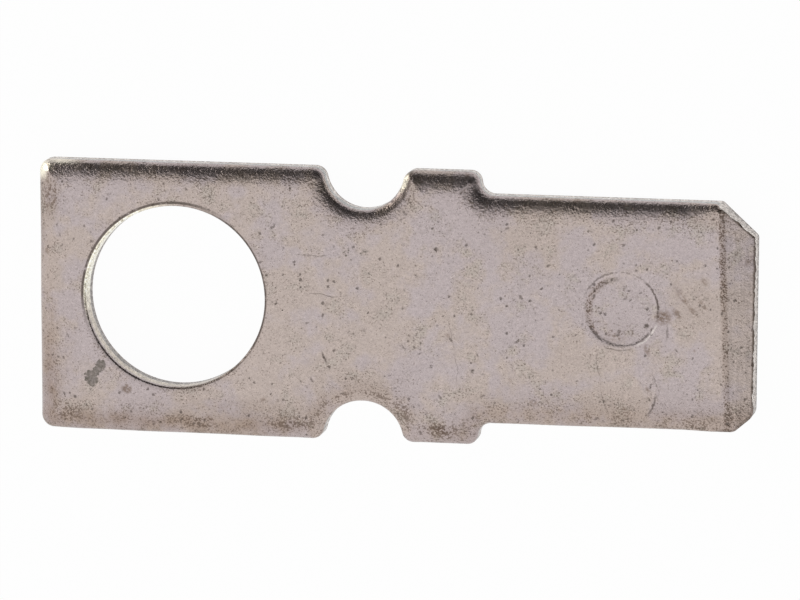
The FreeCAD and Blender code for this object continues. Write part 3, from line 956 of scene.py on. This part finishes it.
SPOTS = (
    ((13.14, -0.31), (0.075, 0.075), 0, 0.6, 1.0), ((12.40, -0.50), (0.06, 0.05), 0, 0.9, 0.7),
    ((12.52, 0.68), (0.05, 0.05), 0, 0.9, 0.5), ((5.34, -0.74), (0.07, 0.06), 0, 0.9, 0.5),
    ((12.34, -0.60), (0.07, 0.05), 20, 0.8, 0.8), ((12.04, -0.58), (0.05, 0.04), 0, 0.9, 0.6),
)
STROKES = (
    ((4.12, -1.40), (4.36, -1.67), 0.030, 1.0), ((13.48, -2.20), (13.12, -2.80), 0.045, 0.9),
    ((13.68, -0.25), (13.68, -0.68), 0.035, 0.6), ((3.35, 1.30), (4.36, 1.30), 0.014, 0.8),
    ((3.71, 0.25), (4.64, 0.23), 0.016, 0.9), ((7.68, -0.16), (7.85, -1.18), 0.014, 0.45),
    ((7.85, -1.18), (7.94, -2.28), 0.014, 0.45), ((11.80, -0.88), (11.90, -1.99), 0.015, 0.45),
    ((11.90, -1.99), (12.18, -3.06), 0.015, 0.45), ((13.29, -1.49), (13.55, -2.20), 0.018, 0.5),
)
DARK_ARCS = (
    (1.04, 0.032, 18, 32, 1.0), (1.04, 0.024, 125, 34, 0.7), (1.04, 0.024, 80, 22, 0.6),
    (0.95, 0.044, 234, 24, 0.8), (0.98, 0.026, 274, 20, 0.3), (1.10, 0.024, 268, 20, 0.6),
    (1.00, 0.028, 315, 24, 0.8), (0.86, 0.070, 112, 24, 0.5),
)

chewed = crumbs * 0.6 + grain * 0.4 - 0.5
stains = marks(STAINS, strayed)
stains = (stains + chewed * 2.2).ease(0.30, 0.75) * stains.ease(0.02, 0.30)
brown_stains = marks(BROWN_STAINS, strayed) * chewed.ease(-0.16, 0.03)
rubbed_highlight = marks(RUBBED_HIGHLIGHT_SPOTS, strayed) * (side_gap + mottle * 0.2).ease(0.50, 0.25)
spots, strokes = marks(SPOTS, ragged), marks(STROKES, swayed, stroke)
broken = (grain + mottle).ease(0.80, 1.05)
dark_arcs = marks(DARK_ARCS, round_dimple, ring_mark) * broken
# Painted highlight: a thin bright arc on the lower right of the dimple's rim.
dimple_highlight_arc = ring_mark(round_dimple, 1.06, 0.024, 318, 22) * 0.6
rim_line = tin.maths("ABSOLUTE", hole_gap - HOLE_ROLL - 0.030).ease(0.055, 0.020)
rim_line = rim_line * along.ease(1.9, 0.2) * (across.ease(-1.2, 0.2) * 0.8 + 0.2)
rim_line = rim_line * (mottle + grain * 0.8).ease(0.60, 0.82)
thin_line = hole_gap.ease(0.085, 0.045) * along.ease(0.2, 1.6)
thin_line = thin_line * ((mottle + grain * 0.8).ease(0.74, 0.90) * 0.35 + 0.65)
lip = hole_gap.ease(HOLE_ROLL + 0.005, HOLE_ROLL - 0.020)
# Painted shade: a dark arc in the roll of the upper notch's right flank, in place of the dark that
# the rolled edge mirrors, dimming the lamp's glint there.
notch_painted_shade = ring_mark(round_upper_notch, NOTCH_RADIUS + NOTCH_SHADE_OUT, 0.11, -34, 38)
tip_line = (edge_gap + mottle * 0.05).ease(0.145, 0.085) * along.ease(15.05, 15.12)
tip_line = tip_line * (1 - across.ease(-2.2, -2.7) * 0.5)
crisp = strongest([rim_line, spots, strokes, dark_arcs]) * 0.85
crisp = strongest([crisp, thin_line * 0.9])
print("marks:", len(tin.tree.nodes), "nodes")

# %% The tin itself
BEIGE_PATCHES = (
    ((10.8, -1.4), (1.1, 0.8)), ((9.5, 2.0), (1.5, 0.8)), ((12.3, -2.5), (1.4, 0.6)),
    ((14.4, 0.2), (0.9, 1.1)), ((8.3, -0.4), (0.8, 1.0)),
)
beige = strongest(blot(swayed, *row, soft=1.0) for row in BEIGE_PATCHES)
beige = (patches + clouds * 0.5 + beige * 0.16).ease(0.66, 0.84)


def coats():
    """Mask and colour of each coat on the plate, each made when its turn comes."""
    yield (clouds + mottle * 0.4).ease(0.74, 0.92) * 0.5, TIN_GREEN
    yield strongest([film, packed * 0.34, dirt * 0.05, gritty_arcs * on_top * 0.40]), GRIME
    yield strongest([grit * (packed * 0.25 + 0.60), clots * (blobs * 0.65 + 0.40)]), GRIT
    yield smudges * grain.ease(0.36, 0.52) * 0.55, BROWN_STAIN
    # painted shade in the roll of the upper notch
    yield notch_painted_shade * on_top * 0.8, PIT
    yield strongest([small * 0.65, large * 0.8, nicks * 0.55]), PIT
    yield stains * on_top * (mottle * 0.7 + chewed * 1.5 + 0.45), STAIN
    yield brown_stains * on_top * 0.85, BROWN_STAIN
    yield crisp * on_top, PIT
    # painted highlight on the dimple's rim
    yield dimple_highlight_arc * on_top, TORN_METAL
    # painted highlight on rubbed metal at the upper left corner and the upper notch
    yield rubbed_highlight, RUBBED_HIGHLIGHT
    yield tip_line * on_top * 0.85, CUT_LINE


colour = tin.blend(beige, TIN_VIOLET, TIN_BEIGE)
for mask, cover in coats():
    colour = tin.blend(mask, colour, cover)
cut_metal = tin.blend(torn_mask, SHEARED, TORN_METAL)
# The bore wall gets a painted highlight: cream towards its upper side, beige lower down, and grey
# near its bottom edge.
bore_metal_and_highlight = tin.blend((across + mottle).ease(-0.3, 1.0), BORE_BEIGE, BORE_HIGHLIGHT_CREAM)
bore_metal_and_highlight = tin.blend((upward + mottle * 0.12).ease(0.44, 0.34), bore_metal_and_highlight, BORE_GREY)
cut_metal = tin.blend(in_bore, cut_metal, bore_metal_and_highlight)
# The same painted cream highlight is laid on the rolled lip at the hole's left.
left_lip_highlight = lip * on_top * along.ease(0.2, -1.2) * across.ease(-1.2, -0.1)
colour = tin.blend(left_lip_highlight, colour, bore_metal_and_highlight)
colour = tin.blend(wall, colour, cut_metal)

streaks = tin.noise(tin.vector("MULTIPLY", place, (1.0, 0.06, 1.0)), 14.0, 2.0, 0.6)
in_lead = past_crease.ease(0.08, 0.16)
streaks = streaks * in_lead * on_top
# Bright flecks: lighter grain on the face, and painted glints on the torn band of the tip.
flecks_and_glints = fine_light.ease(0.62, 0.74)
busy = dirt * 0.5 + 0.7
shade = 0.98 + (grain * 0.42 + dust * 0.52 - 0.47) * busy + (mottle - 0.5) * 0.16
shade = shade + flecks_and_glints * busy * 0.17
shade = shade + (streaks - 0.5) * in_lead * 0.5
shade = shade + (fine_light + grain - 1.0) * strongest([wall, left_lip_highlight]) * 1.6
shade = shade + flecks_and_glints * torn_mask * 0.35
tinned = tin.node("ShaderNodeVectorMath", {0: colour, "Scale": shade}, operation="SCALE")

pitted = strongest([small, large, nicks * 0.5])
bumpy = side_gap.ease(0.9, 0.3)
relief = dust * (bumpy * 0.003 + 0.007) + grain * (bumpy * 0.010 + 0.008)
relief = relief + mottle * 0.004 - pitted * 0.006
bumps = tin.node("ShaderNodeBump", {"Height": relief, "Distance": MM, "Strength": 1.0})
coined = past_crease.ease(-0.05, 0.10) * on_top
roughness = 0.22 + mottle * 0.10 + pitted * 0.15 + grit * 0.10 + torn_mask * 0.12 + coined * 0.12
surface = tin.node("ShaderNodeBsdfPrincipled", {
    "Base Color": tinned, "Metallic": METAL_SHARE, "Roughness": roughness, "Normal": bumps,
})
tin.node("ShaderNodeOutputMaterial", {"Surface": surface})
terminal.data.materials.append(tin.owner)
print("old tin:", len(tin.tree.nodes), "nodes")

# %% [markdown]
# ## Floor and light
# The floor is plain and white. A strength of 1 for what the camera and the reflections
# see makes it white without putting more light on the part, and the small share that
# stays matt keeps a trace of shadow. Seen from below it is clear, so that the back can
# be looked at too. The light is one broad soft sky, dim on the far side beyond the
# upper edge, because a rolled edge of metal only shows where it has something dark to
# mirror. A small warm lamp stands low at the upper left and puts a glint on the left
# corner and in the notch. The cream glint there is also painted into the tin as a
# highlight on rubbed metal.

# %% Floor
FLOOR_HALF = 1.5
FLOOR_GLOW = 0.97
PAPER, WHITE = (0.9, 0.9, 0.9, 1.0), (1.0, 1.0, 1.0, 1.0)

floor_mesh = bpy.data.meshes.new("floor")
signs = ((-1, -1), (1, -1), (1, 1), (-1, 1))
corners = [(FLOOR_HALF * x, FLOOR_HALF * y, 0) for x, y in signs]
floor_mesh.from_pydata(corners, [], [(0, 1, 2, 3)])
floor = placed("floor", floor_mesh)

paper = Finish(bpy.data.materials.new("white_floor"))
rays = paper.node("ShaderNodeLightPath", output="Is Camera Ray")
seen = rays + rays.other("Is Glossy Ray") + rays.other("Is Transmission Ray")
seen = paper.maths("MINIMUM", seen, 1.0)
matt = paper.node("ShaderNodeBsdfDiffuse", {"Color": PAPER})
glow = paper.node("ShaderNodeEmission", {"Color": WHITE, "Strength": 1.0})
lit = paper.node("ShaderNodeMixShader", {0: seen * FLOOR_GLOW, 1: matt, 2: glow})
below = paper.node("ShaderNodeNewGeometry", output="Backfacing")
clear = paper.node("ShaderNodeBsdfTransparent")
sheet = paper.node("ShaderNodeMixShader", {0: below, 1: lit, 2: clear})
paper.node("ShaderNodeOutputMaterial", {"Surface": sheet})
floor.data.materials.append(paper.owner)
print("floor", 2 * FLOOR_HALF, "m square")

# %% Sky and lamp
ZENITH = (1.06, 1.06, 1.06, 1.0)
HORIZON = (1.05, 1.05, 1.05, 1.0)
DIM_SKY = (0.03, 0.03, 0.03, 1.0)
DIM_SIDE = (0.35, 0.937, 0.0)
DIM_FROM, DIM_TO = -0.04, 0.38
HORIZON_UP_TO, ZENITH_FROM = 0.3, 0.95

world = bpy.data.worlds.new("studio")
bpy.context.scene.world = world
sky = Finish(world)
heading = sky.node("ShaderNodeTexCoord", output="Generated")
towards_dim = sky.vector("DOT_PRODUCT", heading, DIM_SIDE, output=1)
height = sky.vector("DOT_PRODUCT", heading, (0.0, 0.0, 1.0), output=1)
dome = sky.blend(height.ease(HORIZON_UP_TO, ZENITH_FROM), HORIZON, ZENITH)
sky_colour = sky.blend(towards_dim.ease(DIM_FROM, DIM_TO), dome, DIM_SKY)
light = sky.node("ShaderNodeBackground", {"Color": sky_colour, "Strength": 1.0})
sky.node("ShaderNodeOutputWorld", {"Surface": light})

LAMP_AT = Vector((-0.47, 0.30, 0.12))
LAMP_WIDTH, LAMP_HEIGHT = 0.26, 0.24
LAMP_WATTS, LAMP_COLOUR = 0.9, (1.0, 0.97, 0.90)

lamp_data = bpy.data.lights.new("side_lamp", "AREA")
lamp_data.shape = "RECTANGLE"
lamp_data.size, lamp_data.size_y = LAMP_WIDTH, LAMP_HEIGHT
lamp_data.energy, lamp_data.color = LAMP_WATTS, LAMP_COLOUR
lamp = placed("side_lamp", lamp_data)
lamp.location = LAMP_AT
lamp.rotation_mode = "XYZ"
lamp.rotation_euler = LAMP_AT.to_track_quat("Z", "Y").to_euler()
print("lamp", round(LAMP_AT.length, 2), "m away")

# %% [markdown]
# ## Finish
# The view transform is set to Standard.

# %% View transform
bpy.context.scene.view_settings.view_transform = "Standard"
